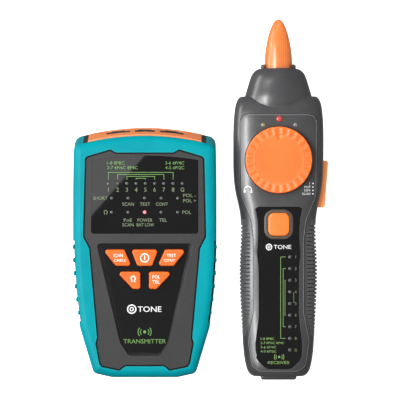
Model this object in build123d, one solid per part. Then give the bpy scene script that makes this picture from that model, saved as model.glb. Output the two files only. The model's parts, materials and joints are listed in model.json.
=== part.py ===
from build123d import *
import math
import os

# Tone probe kit: a tone transmitter (left) and a receiver probe (right) lying on their backs, face up.
# Row frame: origin at the bottom centre of the kit's box, +X to the right, +Y towards the transmitter's
# ports and the probe's tip, +Z out of both faces. Millimetres throughout.
# Each unit is drawn in its own frame: x = 0 on its centre line, y = 0 at its lower end, z = 0 at its back.
# In every outline below, only the right half is listed, from its lower end up, as (x, y, corner radius).

# ---------------------------------------------------------------- kit layout
UNIT_GAP = 9.1
TX_LIFT = 1.6  # how much further up the table the transmitter's lower end lies

# ---------------------------------------------------------------- transmitter sizes
TX_HALF_W = 38.2
TX_TOP_HALF_W = 37.65
TX_THICK = 33.0
TX_END_Y = 134.1  # end surface at the back, on the centre line
TX_END_R = 135.0
TX_END_TILT = 9.5
TX_OUTLINE = [
    (17.5, 0.0, 8), (27.2, 2.2, 3.5), (34.6, 26.8, 10), (37.0, 46.0, 60), (TX_HALF_W, 66.0, 40),
    (TX_HALF_W, 98.0, 60),
]
TX_OUTLINE_TOP = (TX_TOP_HALF_W, 150.0, 0)
TX_WINDOW = [
    (10.2, 5.9, 1), (13.4, 3.5, 1.2), (22.9, 5.5, 1), (24.3, 7.6, 1), (26.2, 18.0, 1), (25.4, 21.2, 1),
    (29.6, 68.6, 2), (32.8, 74.8, 2), (31.8, 117.4, 2.5), (18.2, 121.4, 1), (15.2, 119.7, 1),
]
BOOT_WALL = 2.7
BOOT_LIP_Z = 30.4
BOOT_BACK_Z = 1.6
BOOT_EDGE_R = 4.5
BOOT_CORNER_R = 4.5
GRIP_RECESS = 1.1  # how far the boot's ribbed lower sides stand back
END_OPENING_X = 32.8
END_OPENING_Z = (3.2, 30.4)
CASE_GAP = 0.05
CASE_WALL = 2.0
CASE_FACE_Z = 32.3
CASE_BACK_Z = 0.4
PARTING_Z = 17.0
CAVITY_Z = (3.6, 28.4)
FACE_GAP = 0.55  # shadow gap between the boot's lip and the face inside it
RIB_COUNT = 6
RIB_FIRST_Y = 34.4
RIB_PITCH = 7.0
RIB_REACH = TX_HALF_W + 0.3
RIB_TAPER = 0.0022

DISPLAY = [(28.6, 76.4, 1.6), (28.6, 115.6, 1.6)]
DISPLAY_TOP_Y = 118.1
DISPLAY_TOP_R = 170.0
DISPLAY_Z = (30.6, 32.0)
DISPLAY_LEDGE = 1.6
LED_TIP_R = 0.9
LED_TIP_Z = 32.1
KEY_RECESS = [(8.6, 11.4, 3), (13.2, 18.4, 6), (25.9, 71.4, 2)]
KEY_FLOOR = [(8.2, 13.0, 2.4), (12.0, 18.8, 5), (23.7, 70.8, 1.6)]
KEY_FLOOR_Z = 30.0
KEY_SHEET = 0.5
KEY_TOP_Z = 32.5
KEY_TRAVEL = 0.8
KEY_GAP = 0.3
KEY_RADIUS = 1.3
KEY_FLANGE = 0.8
STEM_R = 1.6  # the keys' stems, which run in wells in their switches
WELL_FLOOR = 0.9

TX_BOARD_Z = (21.8, 23.4)
TX_BOARD = [(17.0, 12.0, 2), (22.5, 17.0, 2), (29.5, 60.0, 3), (31.5, 75.0, 2), (31.5, 117.5, 2)]
TX_SCREWS = [(28.6, 105.0), (20.5, 10.6)]
SCREW_SHANK_R = 1.45
SCREW_HEAD_R = 2.6
BOSS_R = 3.3
RX_BOSS_R = 2.8

# ---------------------------------------------------------------- ports, both units
PORT_W = 11.9
PORT_H = 7.2
PORT_KEY_W = 6.3
PORT_KEY_H = 2.0
PHONE_PORT_W = 9.9
PORT_DEPTH = 12.6
JACK_W = 13.9
PHONE_JACK_W = 11.9
JACK_DEEP = 15.0
JACK_H = 13.4
TX_PORT_Z = 14.6
TX_PORT_PITCH = 14.3
TX_JACK_FACE_Y = 125.2
PANEL_HALF_W = 30.2
PANEL_Z = (5.2, 28.0)
BEZEL_HALF_W = 32.6
BEZEL_Z = (3.4, 30.2)
PORT_RIM = 0.45  # wall of the sockets' black noses
CONTACT = 0.36

# ---------------------------------------------------------------- battery, both units
CELL = (26.5, 48.5, 17.5)
TX_CELL_Y = 19.0
TX_CELL_Z = 2.7
RX_CELL_Y = 25.0
RX_CELL_Z = 2.6
TX_DOOR_SCREW_Y = 81.5
DOOR_SCREW_R = 1.4

# ---------------------------------------------------------------- receiver sizes
RX_HALF_W = 24.1
RX_LENGTH = 192.6
RX_PORT_Z = 13.7
RX_JACK_FACE_Y = 6.1
RX_DOOR_HALF_W = 14.4
RX_DOOR_END_Y = 82.0
TIP_BASE_R = 7.4
TIP_BASE_Y = 164.6
TIP_Z = 16.1
# Body stations: (y, half width, lowest z, highest z, exponent of the superellipse)
RX_BODY = [
    (1.9, 13.6, 2.6, 26.2, 3.2), (3.6, 15.8, 0.8, 27.8, 3.6), (8.0, 17.5, -0.8, 29.0, 4.0),
    (22.0, 19.1, -1.2, 29.6, 4.0), (48.0, 20.5, -1.2, 29.9, 4.0), (66.0, 20.5, -1.2, 30.1, 4.0),
    (82.0, 19.9, -1.2, 30.4, 4.0), (91.0, 20.8, -1.2, 30.7, 4.1), (99.0, 22.6, -1.2, 31.0, 4.3),
    (122.0, RX_HALF_W, -1.2, 31.2, 4.4), (138.0, 23.9, -1.0, 31.1, 4.4), (144.5, 23.3, -0.2, 29.9, 4.2),
    (149.4, 22.0, 1.8, 27.6, 3.8), (151.4, 20.2, 3.6, 25.6, 3.4),
]
NOSE_STATIONS = [
    (141.0, 15.4, 2.6, 27.2, 2.3), (145.4, 17.6, 0.7, 29.6, 2.3), (149.5, 18.2, 0.0, 30.5, 2.3),
    (154.0, 17.2, 0.9, 30.0, 2.2), (159.0, 15.7, 2.4, 29.0, 2.1), (163.0, 14.2, 4.0, 28.0, 2.0),
    (165.2, 12.4, 5.6, 26.6, 2.0), (166.2, 10.4, 6.2, 26.0, 2.0),
]
SECTION_POINTS = 24
RX_WALL = 2.6
SHEET_FLOOR = ((7.0, 28.3), (93.0, 30.2))  # (y, z) at both ends of the label panel's bed
SEAM = [
    (11.0, 4.2, 2), (14.8, 6.8, 4), (16.9, 20.5, 8), (13.7, 36.0, 20), (13.7, 74.0, 30), (14.9, 85.0, 8),
    (20.3, 98.0, 14), (20.9, 142.0, 5),
]
SEAM_GAP = 0.15
SEAM_MIN_Z = 22.5
PANEL = [
    (6.4, 5.9, 5), (12.2, 11.4, 7), (12.4, 19.5, 10), (10.6, 34.0, 30), (10.7, 60.0, 40), (13.1, 81.0, 20),
    (13.3, 92.4, 3.2),
]
DIAL_Y = 117.3
DIAL_R = 17.75
DIAL_Z = (30.0, 34.8)
DIAL_SEAT_R = 18.2
DIAL_SEAT_Z = 29.7
SPINDLE_R = 3.0
GRIP_Y = (23.6, 85.6)
GRIP_BED = (18.3, 41.7)  # the upright face's x, and x + z on the sloping face
GROOVE_BED = 0.8
GRIP_Z = (4.0, 26.0)
GRIP_PITCH = 2.05
GRIP_GROOVES = 28
GROOVE_W = 0.85
BUTTON_Y = 83.0
BUTTON = (11.5, 12.4, 3.2)
BEZEL = (15.6, 16.0, 5.2)
BUTTON_TRAVEL = 0.8
MAP_LED_X = 5.95
MAP_LED_FIRST_Y = 16.1
MAP_LED_PITCH = 6.2
MAP_LED_R = 1.1
RX_BOARD_Z = (20.8, 22.4)
RX_BOARD = [(11.0, 9.0, 2), (14.6, 26.0, 10), (15.2, 78.0, 10), (18.4, 98.0, 8), (18.8, 140.0, 3)]
RX_SCREWS = [(16.6, 138.0), (11.0, 87.5)]
SLIDER_TILT = 4.5
SLIDER_X = 21.72
SLIDER_Y = 104.7
SLIDER_LENGTH = 25.2
SLIDER_TRAVEL = 5.7
SLIDER_Z = 15.0
EAR_FACE_X = -22.6
EAR_Y = 102.0
EAR_Z = 15.0
EAR_BORE_R = 1.8
EAR_BORE_DEEP = 13.0
EAR_SLEEVE_R = 3.1
SWITCH_PROUD = 2.5

# ---------------------------------------------------------------- where each unit lies in the kit
KIT_WIDTH = 2 * TX_HALF_W + UNIT_GAP + 2 * RX_HALF_W + SWITCH_PROUD
TX_AT = (TX_HALF_W - KIT_WIDTH / 2, TX_LIFT - RX_LENGTH / 2, 0)
RX_AT = (KIT_WIDTH / 2 - SWITCH_PROUD - RX_HALF_W, -RX_LENGTH / 2, 0)


# ---------------------------------------------------------------- drawing helpers
def closed(corners):
    """A face from a closed list of (x, y, corner radius)."""
    line = FilletPolyline(*[(x, y) for x, y, r in corners], radius=[r for x, y, r in corners], close=True)
    return make_face(line)


def both_halves(right):
    """The whole outline from its right half."""
    return right + [(-x, y, r) for x, y, r in reversed(right)]


def slab(face, low, high):
    """The face as a plate between two heights."""
    return Pos(0, 0, low) * extrude(face, amount=high - low)


def block(x, y, z):
    """A box from three (low, high) pairs."""
    size = [high - low for low, high in (x, y, z)]
    return Pos(*[(low + high) / 2 for low, high in (x, y, z)]) * Box(*size)


def pin(x, y, radius, low, high):
    """An upright cylinder."""
    return Pos(x, y, (low + high) / 2) * Cylinder(radius, high - low)


def edges_at(shape, height):
    """The edges that lie wholly at one height."""
    return [e for e in shape.edges() if all(abs(v.Z - height) < 1e-3 for v in e.vertices())]


def rounded_box(x, y, z, radius):
    """An upright box whose four upright edges are rounded."""
    solid = block(x, y, z)
    return fillet(solid.edges().filter_by(Axis.Z), radius)


# ---------------------------------------------------------------- transmitter surfaces
def tx_end(inset):
    """Everything below the transmitter's curved, tilted end surface, moved in by inset."""
    tilt = math.radians(TX_END_TILT)
    low = -6.0
    run = 50.0
    centre_y = TX_END_Y - TX_END_R - low * math.tan(tilt)
    disc = Pos(0, centre_y, low) * Circle(TX_END_R - inset)
    return extrude(disc, amount=run / math.cos(tilt), dir=(0, -math.sin(tilt), math.cos(tilt)))


def tx_solid(inset, low, high, end_inset):
    """The transmitter's outline moved in by inset, between two heights, trimmed at its end surface."""
    outline = closed(both_halves(TX_OUTLINE + [TX_OUTLINE_TOP]))
    if inset:
        outline = offset(outline, -inset)
    return slab(outline, low, high) & tx_end(end_inset)


def tx_window(inset):
    """The opening in the boot's front lip, moved in by inset."""
    face = closed(both_halves(TX_WINDOW))
    return offset(face, -inset, kind=Kind.INTERSECTION) if inset else face


def display_face(inset):
    """The display window's outline: a rectangle with an arched top."""
    disc = Pos(0, DISPLAY_TOP_Y - DISPLAY_TOP_R) * Circle(DISPLAY_TOP_R)
    low, high = DISPLAY
    raised = [(low[0], low[1], low[2]), (high[0], DISPLAY_TOP_Y + 1, 0)]
    face = closed(both_halves(raised)) & disc
    return offset(face, -inset) if inset else face


# ---------------------------------------------------------------- transmitter boot and case
def tx_boot():
    """Rubber boot round the case, with ribs on its lower sides."""
    boot = tx_solid(0, 0, TX_THICK, 0.3)
    upright = [e for e in boot.edges() if abs(e.bounding_box().size.Z - TX_THICK) < 0.01]
    boot = fillet([e for e in upright if e.center().Y > 118 and abs(e.center().X) > 36], BOOT_CORNER_R)
    boot = fillet(edges_at(boot, TX_THICK), BOOT_EDGE_R)
    boot = fillet(edges_at(boot, 0), BOOT_EDGE_R - 1)
    ribbed = block((-60, 60), (29.2, 72.8), (4.5, TX_THICK))
    inner = offset(closed(both_halves(TX_OUTLINE + [TX_OUTLINE_TOP])), -GRIP_RECESS)
    boot -= ribbed - slab(inner, 0, TX_THICK)
    boot += tx_boot_ribs()
    boot -= tx_solid(BOOT_WALL, BOOT_BACK_Z, BOOT_LIP_Z, 2.0)
    boot -= slab(tx_window(0), 25, 40)
    boot -= slab(tx_window(0), -5, 5)
    boot -= block((-END_OPENING_X, END_OPENING_X), (105, 150), END_OPENING_Z)
    return boot


def tx_boot_ribs():
    """Short rounded ribs across the boot's lower sides, standing a little proud of the outline."""
    ribs = Part()
    for k in range(RIB_COUNT):
        y = RIB_FIRST_Y + k * RIB_PITCH
        reach = RIB_REACH - RIB_TAPER * (70.0 - y) ** 2
        for side in (-1, 1):
            bar = Pos(side * (reach - 1.4), y, 17.0) * Box(2.8, 2.4, 24.0)
            ribs += fillet(bar.edges(), 0.9)
    return ribs


def tx_case():
    """The whole case as one solid: what the two covers are cut from."""
    case = tx_solid(BOOT_WALL + CASE_GAP, BOOT_BACK_Z + CASE_GAP, BOOT_LIP_Z - CASE_GAP, 2.0 + CASE_GAP)
    face = slab(tx_window(FACE_GAP), BOOT_LIP_Z - 1, CASE_FACE_Z)
    case += chamfer(edges_at(face, CASE_FACE_Z), 0.4)
    case += slab(tx_window(FACE_GAP), CASE_BACK_Z, BOOT_BACK_Z + 1)
    return case


def tx_cavity():
    """The hollow inside the case."""
    return tx_solid(BOOT_WALL + CASE_GAP + CASE_WALL, *CAVITY_Z, 4.7)


def panel_opening(grow):
    """The opening in the case's end for the port panel."""
    half = PANEL_HALF_W + grow
    return block((-half, half), (110, 150), (PANEL_Z[0] - grow, PANEL_Z[1] + grow))


def screw_points(points):
    """Each screw and its mirror image."""
    return [(side * x, y) for x, y in points for side in (-1, 1)]


def key_outlines():
    """The five keys, as name: corners (x, y)."""
    scan = [(-22.3, 68.0), (-10.9, 68.0), (-7.0, 59.4), (-15.4, 59.4)]
    power = [(-7.2, 68.0), (7.2, 68.0), (3.9, 59.4), (-3.9, 59.4)]
    ohm = [(-15.0, 56.2), (-2.3, 56.2), (-2.3, 47.1), (-6.3, 47.1)]
    return {
        "tx_key_scan": scan,
        "tx_key_power": power,
        "tx_key_test": [(-x, y) for x, y in reversed(scan)],
        "tx_key_ohm": ohm,
        "tx_key_line": [(-x, y) for x, y in reversed(ohm)],
    }


def key_face(corners, grow):
    """A key's rounded outline, grown by grow."""
    face = closed([(x, y, KEY_RADIUS) for x, y in corners])
    return offset(face, grow) if grow else face


def key_centre(corners):
    return sum(x for x, y in corners) / len(corners), sum(y for x, y in corners) / len(corners)


def led_points():
    """Where the display's small lamps stand: a row of nine, and two rows of five."""
    top = [(-19.3 + 4.92 * k, 103.2) for k in range(9)]
    rows = [(8.8 * k, y) for y in (95.4, 87.9) for k in range(-2, 3)]
    return top + rows


POWER_LED = (0.0, 87.9)


def tx_front_cover():
    cover = tx_case() & block((-60, 60), (-10, 160), (PARTING_Z, 60))
    cover -= tx_cavity()
    cover -= panel_opening(0.15)
    for x, y in screw_points(TX_SCREWS):
        cover += pin(x, y, BOSS_R, PARTING_Z, CAVITY_Z[1] + 0.5)
        cover -= pin(x, y, SCREW_SHANK_R + 0.05, PARTING_Z, 26)
    cover -= slab(display_face(0), DISPLAY_Z[0], 40)
    cover -= slab(display_face(DISPLAY_LEDGE), CAVITY_Z[0], 40)
    recess = closed(both_halves(KEY_RECESS))
    floor = closed(both_halves(KEY_FLOOR))
    rim = Pos(0, 0, CASE_FACE_Z + 0.01) * recess.faces()[0]
    cover -= loft([Pos(0, 0, KEY_FLOOR_Z) * floor.faces()[0], rim])
    for corners in key_outlines().values():
        cover -= slab(key_face(corners, KEY_GAP), 25, 40)
    return cover


def tx_rear_cover():
    cover = tx_case() & block((-60, 60), (-10, 160), (-10, PARTING_Z))
    cover -= tx_cavity()
    cover -= panel_opening(0.15)
    for x, y in screw_points(TX_SCREWS):
        cover += pin(x, y, BOSS_R, 2.5, PARTING_Z)
        cover -= pin(x, y, SCREW_SHANK_R + 0.15, -1, PARTING_Z)
        cover -= pin(x, y, SCREW_HEAD_R + 0.3, -1, 4.6)
    width, length, height = CELL
    bay_x = (-width / 2 - 0.6, width / 2 + 0.6)
    bay_y = (TX_CELL_Y - 1.0, TX_CELL_Y + length + 8.0)
    bay_z = (2.0, TX_CELL_Z + height + 0.4)
    wall = 1.0
    bay_top = bay_z[1] + 0.6
    cover += block((bay_x[0] - wall, bay_x[1] + wall), (bay_y[0] - wall, bay_y[1] + wall), (2.0, bay_top))
    cover -= block(bay_x, bay_y, bay_z)
    cover -= block((-5.5, 5.5), (bay_y[1] - 1, bay_y[1] + wall + 1), (8, bay_z[1]))
    cover -= block(*tx_door_plate(0.3), (-1, 3.0))
    cover -= block((-14.2, 14.2), (15.4, bay_y[1]), (-1, 5.0))
    cover += pin(0, TX_DOOR_SCREW_Y, 3.2, 3.0, 8.0)
    cover -= pin(0, TX_DOOR_SCREW_Y, DOOR_SCREW_R + 0.05, 0, 8)
    return cover


def tx_door_plate(grow):
    """The battery door's outer plate: its x and y ranges, grown by grow."""
    return (-15.6 - grow, 15.6 + grow), (14.0 - grow, 85.5 + grow)


def tx_battery_door():
    """Screwed lift-off door with a rim that locates it in the opening and three finger ridges."""
    door = rounded_box(*tx_door_plate(0), (0.55, 2.3), 2.0)
    door = fillet(edges_at(door, 0.55), 0.5)
    door -= pin(0, TX_DOOR_SCREW_Y, DOOR_SCREW_R, -1, 4)
    door -= pin(0, TX_DOOR_SCREW_Y, 2.8, -1, 1.5)
    for k in range(3):
        door -= Pos(0, 20 + 3 * k, 0.5) * Rot(0, 90, 0) * Cylinder(0.5, 16)
    return door


def pan_screw(shank_r, head_r, length, slot):
    """A pan-head screw pointing +Z, head at z = 0 downwards, with a cross recess."""
    head = Pos(0, 0, 0.9) * Cylinder(head_r, 1.8)
    head = fillet(edges_at(head, 0), 0.7)
    screw = head + Pos(0, 0, 1.8 + length / 2) * Cylinder(shank_r, length)
    for turn in (0, 90):
        screw -= Pos(0, 0, 0.35) * Rot(0, 0, turn) * Box(head_r * 1.2, slot, 1.1)
    return screw


def tx_door_screw():
    """Low-head screw that stays with the door."""
    head = fillet(edges_at(pin(0, 0, 2.5, 0.7, 1.5), 0.7), 0.3)
    screw = head + pin(0, 0, DOOR_SCREW_R, 1.5, 6.5) - block((-1.6, 1.6), (-0.35, 0.35), (0, 1.2))
    return Pos(0, TX_DOOR_SCREW_Y, 0) * screw


def tx_case_screws():
    screw = pan_screw(SCREW_SHANK_R, SCREW_HEAD_R, 17.0, 0.8)
    return Part() + [Pos(x, y, 2.75) * screw for x, y in screw_points(TX_SCREWS)]


# ---------------------------------------------------------------- ports
def port_prism(width, y, centre_z, grow):
    """A modular socket's opening, a rectangle with the latch's keyway below it, grown by grow."""
    half = width / 2 + grow
    key_half = PORT_KEY_W / 2 + grow
    bottom = centre_z - PORT_H / 2
    prism = block((-half, half), y, (bottom - grow, bottom + PORT_H + grow))
    return prism + block((-key_half, key_half), y, (bottom - PORT_KEY_H - grow, bottom + 1))


def tx_port_nose(x, width):
    """The black rim of one socket, which reaches through the port panel."""
    reach = (TX_JACK_FACE_Y - 0.1, 150)
    tube = port_prism(width, reach, TX_PORT_Z, PORT_RIM) - port_prism(width, reach, TX_PORT_Z, 0)
    return Pos(x, 0, 0) * tube & tx_end(0.3)


def tx_port_bezel():
    """Black surround between the boot and the port panel."""
    frame = block((-BEZEL_HALF_W, BEZEL_HALF_W), (100, 150), BEZEL_Z) & (tx_end(0.7) - tx_end(2.0))
    return frame - panel_opening(0.1)


def tx_port_panel():
    """Orange panel in the transmitter's end, following its curve and tilt."""
    panel = panel_opening(0) & (tx_end(0) - tx_end(6.0))
    half = PANEL_HALF_W + 1.2
    flange = block((-half, half), (100, 150), (PANEL_Z[0] - 1.2, PANEL_Z[1] + 0.3))
    panel += flange & (tx_end(4.75) - tx_end(6.0))
    panel -= block((-22.4, 22.4), (100, 150), (7.6, 22.4)) & tx_end(2.5)
    for x, width in tx_port_places():
        panel -= Pos(x, 0, 0) * port_prism(width, (110, 150), TX_PORT_Z, PORT_RIM + 0.05)
    return panel


def tx_port_places():
    return [(-TX_PORT_PITCH, PORT_W), (0, PHONE_PORT_W), (TX_PORT_PITCH, PORT_W)]


def modular_jack(width, port_width):
    """A board-mounted modular socket, open towards +Y at y = 0, its opening centred on z = 0."""
    low = -PORT_H / 2 - PORT_KEY_H - 0.75
    jack = block((-width / 2, width / 2), (-JACK_DEEP, 0), (low, low + JACK_H))
    jack -= port_prism(port_width, (-PORT_DEPTH, 1), 0, 0)
    return jack


def jack_contacts(count, pitch):
    """Sprung contact wires under the roof of a socket that opens towards +Y at y = 0."""
    wires = Part()
    for k in range(count):
        x = (k - (count - 1) / 2) * pitch
        wires += Pos(x, -7.4, PORT_H / 2 - 0.62) * Rot(-4, 0, 0) * Box(CONTACT, 9.0, CONTACT)
    return wires


# ---------------------------------------------------------------- lamps and switches
def lamp(tip_r, base_r, board_z, tip_z):
    """A small lamp: a base on the board and a domed light guide up to the face."""
    base_top = board_z + 3.0
    body = pin(0, 0, base_r, board_z, base_top)
    guide = pin(0, 0, tip_r, base_top, tip_z)
    guide = fillet(edges_at(guide, tip_z), tip_r * 0.6)
    return body + guide


def tact_switch(x, y, board_z):
    """A 6 mm key switch whose well takes the key's stem."""
    body = block((x - 3, x + 3), (y - 3, y + 3), (board_z, board_z + 3.0))
    return body - pin(x, y, STEM_R + 0.3, board_z + WELL_FLOOR, board_z + 4)


def key_cap(corners):
    """A key: a domed cap, a flange that holds it under the face, and a stem into its switch."""
    x, y = key_centre(corners)
    cap = slab(key_face(corners, 0), 27.4, KEY_TOP_Z)
    cap = fillet(edges_at(cap, KEY_TOP_Z), 0.7)
    under = CAVITY_Z[1] - 0.05
    cap += slab(key_face(corners, KEY_FLANGE), under - 0.7, under)
    stem_bottom = TX_BOARD_Z[1] + WELL_FLOOR + 0.3 + KEY_TRAVEL
    return cap + pin(x, y, STEM_R, stem_bottom, under)


# ---------------------------------------------------------------- batteries
def battery(y, z):
    """A 9 V block with its snap terminals at the upper end."""
    width, length, height = CELL
    cell = block((-width / 2, width / 2), (y, y + length), (z, z + height))
    cell = fillet(cell.edges().filter_by(Axis.Y), 2.0)
    top = y + length
    middle = z + height / 2
    cell += Pos(-6.4, top + 1.3, middle) * Rot(90, 0, 0) * Cylinder(2.9, 2.8)
    cell += Pos(6.4, top + 1.3, middle) * Rot(90, 0, 0) * Cylinder(4.2, 2.8)
    return cell


def battery_snap(y, z):
    """The moulded snap connector that clips on the terminals."""
    width, length, height = CELL
    top = y + length
    middle = z + height / 2
    snap = block((-12.6, 12.6), (top + 0.1, top + 4.6), (middle - 6.4, middle + 6.4))
    snap = fillet(snap.edges().filter_by(Axis.Y), 3.0)
    for x, radius in ((-6.4, 3.0), (6.4, 4.3)):
        snap -= Pos(x, top + 1.4, middle) * Rot(90, 0, 0) * Cylinder(radius, 2.8)
    return snap


def battery_leads(y, z, board_z):
    """Two insulated leads from the snap up to the board's underside."""
    width, length, height = CELL
    start = y + length + 4.6
    middle = z + height / 2
    leads = Part()
    for x in (-2.0, 2.0):
        bend = (x * 2.2, start + 6.5, middle + 4.5)
        end = (x * 2.2, start + 6.5, board_z)
        route = FilletPolyline((x, start, middle), (x, start + 3.4, middle), bend, end, radius=[1.6, 1.6])
        wire_end = Plane(origin=route @ 0, z_dir=route % 0)
        leads += sweep(wire_end * Circle(0.75), path=route)
    return leads


# ---------------------------------------------------------------- transmitter inside
def tx_circuit_board():
    board = slab(closed(both_halves(TX_BOARD)), *TX_BOARD_Z)
    for x, y in screw_points(TX_SCREWS):
        board -= pin(x, y, BOSS_R + 0.3, 20, 25)
    return board


def tx_chips():
    """The controller and two smaller packages on the board's face."""
    z = TX_BOARD_Z[1]
    chips = block((-5, 5), (31, 41), (z, z + 1.6))
    chips += block((-13, -8), (27, 31), (z, z + 1.4))
    chips += block((8, 13), (27, 31), (z, z + 1.4))
    return chips


# ---------------------------------------------------------------- receiver surfaces
def station_face(y, half_w, low, high, power, inset):
    """One cross-section: a superellipse standing across Y."""
    a = half_w - inset
    b = (high - low) / 2 - inset
    centre = (high + low) / 2
    points = []
    for k in range(SECTION_POINTS):
        t = 2 * math.pi * k / SECTION_POINTS
        c, s = math.cos(t), math.sin(t)
        x = a * math.copysign(abs(c) ** (2 / power), c)
        z = centre + b * math.copysign(abs(s) ** (2 / power), s)
        points.append((x, y, z))
    return Face(Wire(Spline(*points, periodic=True).edges()))


def rx_hull(stations, inset):
    """A smooth body through its stations, moved in by inset."""
    first, last = stations[0][0] + inset, stations[-1][0] - inset
    closest = inset / 2
    inner = [station for station in stations[1:-1] if first + closest < station[0] < last - closest]
    ends = [(first, *stations[0][1:])], [(last, *stations[-1][1:])]
    return loft([station_face(*station, inset) for station in ends[0] + inner + ends[1]])


ABOVE_TABLE = ((-60, 60), (-10, 220), (0, 60))


def rx_body_solid(inset):
    """The receiver's body, with a flat back to lie on when it isn't moved in."""
    hull = rx_hull(RX_BODY, inset)
    return hull & block(*ABOVE_TABLE) if inset < 0.7 else hull


def seam_prism(grow, low):
    face = closed(both_halves(SEAM))
    return slab(offset(face, grow) if grow else face, low, 60)


def panel_prism(grow):
    """The label panel's outline as a prism that stands on its sloping bed."""
    face = closed(both_halves(PANEL))
    (y0, z0), (y1, z1) = SHEET_FLOOR
    slope = math.degrees(math.atan2(z1 - z0, y1 - y0))
    bed = Pos(0, y0, z0) * Rot(slope, 0, 0) * block((-40, 40), (-60, 160), (0, 30))
    return slab(offset(face, grow) if grow else face, 20, 60) & bed


def rx_round_rect(size, grow, low, high):
    width, length, radius = size
    face = RectangleRounded(width + 2 * grow, length + 2 * grow, radius + grow)
    return slab(Pos(0, BUTTON_Y) * face, low, high)


def map_led_points():
    return [(MAP_LED_X, MAP_LED_FIRST_Y + MAP_LED_PITCH * k) for k in range(9)]


SIGNAL_LEDS = {
    "rx_green_led": (-8.3, 136.0, 1.25),
    "rx_red_led": (0.3, 139.2, 1.7),
    "rx_white_led": (8.9, 136.0, 1.25),
}


def rx_front_cover():
    """The hourglass fascia that closes the body."""
    skin = BODY - HOLLOW
    cover = skin & seam_prism(-SEAM_GAP, SEAM_MIN_Z)
    for x, y in screw_points(RX_SCREWS):
        cover += pin(x, y, RX_BOSS_R, RX_BOARD_Z[1] + 0.1, 27.6)
        cover -= pin(x, y, SCREW_SHANK_R + 0.05, 20, 26.0)
    cover -= pin(0, DIAL_Y, DIAL_SEAT_R, DIAL_SEAT_Z, 40)
    cover -= pin(0, DIAL_Y, SPINDLE_R + 0.5, 20, 40)
    cover -= panel_prism(0.12)
    cover -= rx_port_block(0.1)
    cover -= rx_round_rect(BUTTON, 0.3, 20, 40)
    cover -= rx_round_rect(BEZEL, 0.05, 28.6, 40)
    for x, y in map_led_points():
        cover -= pin(x, y, MAP_LED_R + 0.1, 20, 40)
    for x, y, radius in SIGNAL_LEDS.values():
        cover -= pin(x, y, radius + 0.1, 20, 40)
    return cover


def rx_label_panel():
    """Gloss overlay that follows the fascia's crown."""
    sheet = panel_prism(0) & rx_hull(RX_BODY, 0.05)
    sheet -= rx_round_rect(BEZEL, 0.05, 20, 40)
    for x, y in map_led_points():
        sheet -= pin(x, y, MAP_LED_R + 0.05, 20, 40)
    return sheet


def slider_frame():
    """The switch's own frame: its Y runs along the body's tapered side."""
    return Pos(SLIDER_X, SLIDER_Y, SLIDER_Z) * Rot(0, 0, -SLIDER_TILT)


def grip_zone(side, grow):
    """The side band that a rubber grip fills, between the seam and the outline."""
    y0, y1 = GRIP_Y
    inner = [(15.2 - grow, y1 - 8, 2), (17.8 - grow, y1 + grow, 1), (40, y1 + grow, 0), (40, y0 - grow, 0),
             (17.6 - grow, y0 - grow, 1), (15.4 - grow, y0 + 12, 10)]
    face = closed([(side * x, y, r) for x, y, r in (inner if side > 0 else reversed(inner))])
    return slab(face, GRIP_Z[0] - grow, GRIP_Z[1] + 8)


def rx_grip(side):
    """A ribbed rubber grip let into the body's side."""
    grip = (grip_zone(1, 0) & BODY) - grip_bed(0)
    bands = [GRIP_Y[0] + 3.2 + GRIP_PITCH * k for k in range(GRIP_GROOVES)]
    cutters = Part() + [block((5, 60), (y - GROOVE_W / 2, y + GROOVE_W / 2), (GRIP_Z[0] + 1.5, 60)) for y in bands]
    grip -= cutters - grip_bed(GROOVE_BED)
    return grip if side > 0 else mirror(grip, about=Plane.YZ)


def grip_bed(grow):
    """The right-hand side of what the grips lie on: an upright face and a sloping one, moved out by grow."""
    side, corner = GRIP_BED
    side += grow
    corner += grow * math.sqrt(2)
    points = [(0, -5), (side, -5), (side, corner - side), (0, corner), (0, -5)]
    profile = make_face(Polyline(*[(x, 0, z) for x, z in points]))
    return Pos(0, 100, 0) * extrude(profile, amount=100, dir=(0, -1, 0))


def rx_rear_cover():
    """The tub that carries everything, with the speaker grille and the battery bay in its back."""
    skin = BODY - HOLLOW
    tub = skin - seam_prism(0, SEAM_MIN_Z)
    pocket = grip_zone(1, 0.05) - grip_bed(-0.05)
    tub -= pocket
    tub -= mirror(pocket, about=Plane.YZ)
    for x, y in screw_points(RX_SCREWS):
        tub += pin(x, y, RX_BOSS_R, 1.0, RX_BOARD_Z[0] - 0.1)
        tub -= pin(x, y, SCREW_SHANK_R + 0.15, -1, 30)
        tub -= pin(x, y, SCREW_HEAD_R + 0.2, -1, 3.0)
    for k in range(7):
        reach = math.sqrt(13.0 ** 2 - (3 * (k - 3)) ** 2)
        tub -= rounded_slot(reach, 118.0 + 3 * (k - 3))
    tub += rx_battery_bay()
    tub -= rx_battery_space()
    tub -= block((-RX_DOOR_HALF_W - 0.3, RX_DOOR_HALF_W + 0.3), (-5, RX_DOOR_END_Y + 0.3), (-1, 2.5))
    tub -= block((-RX_DOOR_HALF_W - 1.4, RX_DOOR_HALF_W + 1.4), (-5, RX_DOOR_END_Y - 2), (1.0, 2.5))
    tub -= rx_port_block(0.1)
    pocket_y = (-SLIDER_LENGTH / 2 - SLIDER_TRAVEL - 0.4, SLIDER_LENGTH / 2 + 0.4)
    tub -= slider_frame() * block((-0.35, 9), pocket_y, (-5.3, 5.3))
    tub -= slider_frame() * block((-9, 1), (-SLIDER_TRAVEL - 3.0, 3.0), (-1.7, 1.7))
    tub -= Pos(-RX_HALF_W, EAR_Y, EAR_Z) * Rot(0, 90, 0) * Cylinder(EAR_SLEEVE_R + 0.1, 20)
    tub -= Pos(0, 149, TIP_Z) * Rot(90, 0, 0) * Cylinder(6.0, 12)
    return tub


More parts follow.
